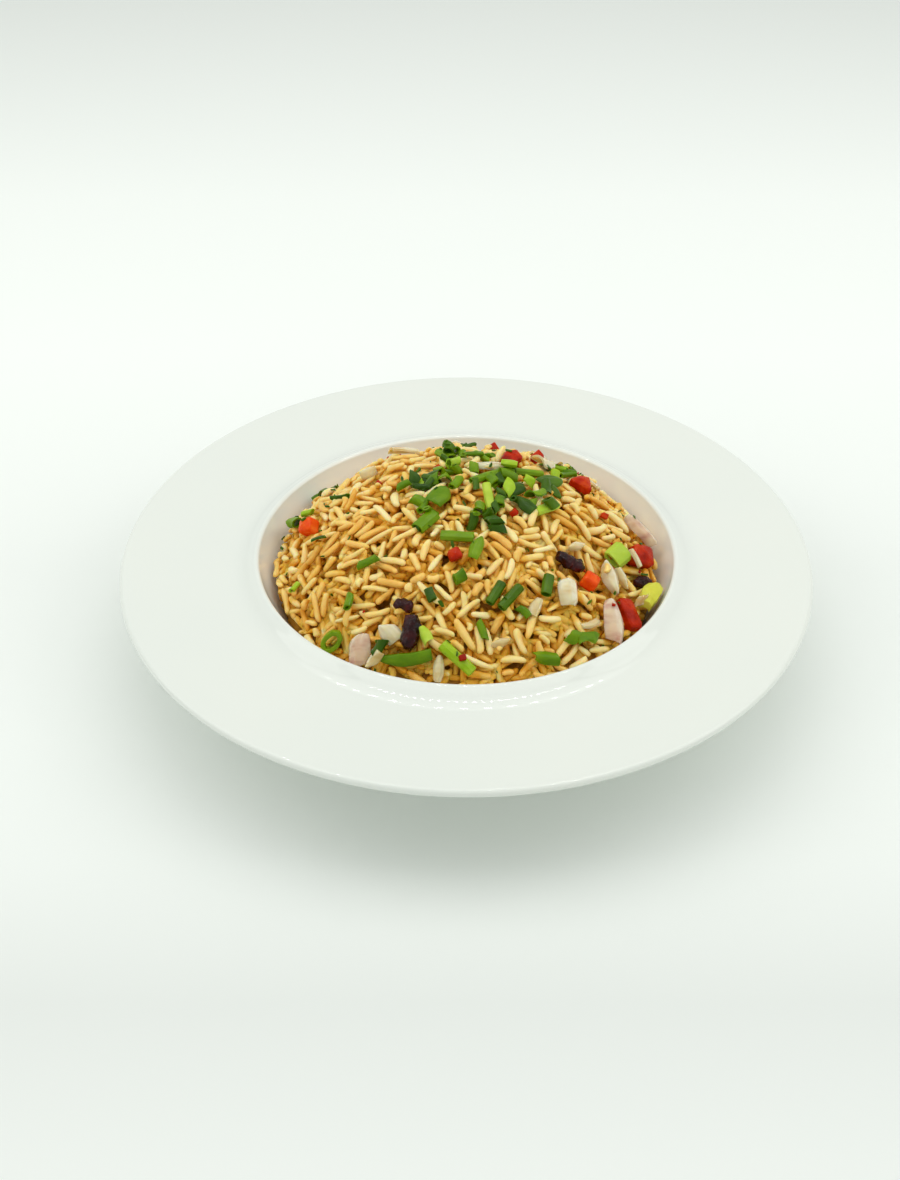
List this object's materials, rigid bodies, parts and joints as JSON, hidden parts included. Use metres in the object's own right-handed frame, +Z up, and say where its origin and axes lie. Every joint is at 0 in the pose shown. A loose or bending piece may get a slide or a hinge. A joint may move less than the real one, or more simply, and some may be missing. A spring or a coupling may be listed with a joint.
{
  "type": "fried rice plate",
  "caption": "Deep white plate with a wide flat rim, its well heaped with fried long-grain rice, diced pepper, onion, dried chilli and chopped spring onion.",
  "frame": {"origin": "middle of the plate's foot ring, on the surface it stands on", "axes": "+Z up out of the plate; -Y is the front, where the dried chilli lies; +X is to the right seen from the front"},
  "size_m": [0.3, 0.3, 0.0851],
  "materials": {
    "porcelain": "white glazed porcelain",
    "rice": "fried long-grain rice, lightly oiled",
    "red_pepper": "cooked red pepper",
    "orange_pepper": "cooked orange-red pepper",
    "onion": "cooked white onion",
    "pink_onion": "cooked pinkish onion",
    "dried_chilli": "fried dried chilli, glossy",
    "green_dark": "dark spring onion leaf",
    "green_mid": "mid-green spring onion",
    "green_pale": "pale spring onion stem",
    "green_chilli": "yellow-green chilli"
  },
  "bodies": {
    "root": {"plate": "porcelain", "rice_heap": "rice", "chilli_edge": "dried_chilli", "chilli_front": "dried_chilli", "chilli_green": "green_chilli", "chilli_hollow": "dried_chilli", "chilli_tail": "dried_chilli", "leaf_front": "green_mid", "leaf_left": "green_mid", "leaf_middle": "green_mid", "leaf_right": "green_dark", "leaf_top": "green_dark", "onion_by_chilli": "onion", "onion_flat": "pink_onion", "onion_front": "onion", "onion_pink": "pink_onion", "onion_right": "pink_onion", "onion_sliver": "onion", "onion_white": "onion", "pepper_back": "red_pepper", "pepper_left": "orange_pepper", "pepper_low": "red_pepper", "pepper_middle": "orange_pepper", "pepper_right": "red_pepper", "pepper_small": "red_pepper", "pepper_top": "red_pepper", "stem_back": "green_mid", "stem_bright": "green_pale", "stem_dark_a": "green_dark", "stem_dark_b": "green_dark", "stem_dark_c": "green_dark", "stem_front": "green_pale", "stem_left": "green_mid", "stem_long": "green_mid", "stem_long_b": "green_mid", "stem_middle": "green_mid", "stem_pale": "green_pale", "stem_pale_end": "onion", "stem_ridged": "green_pale", "stem_ring": "green_mid"}
  },
  "joints": []
}
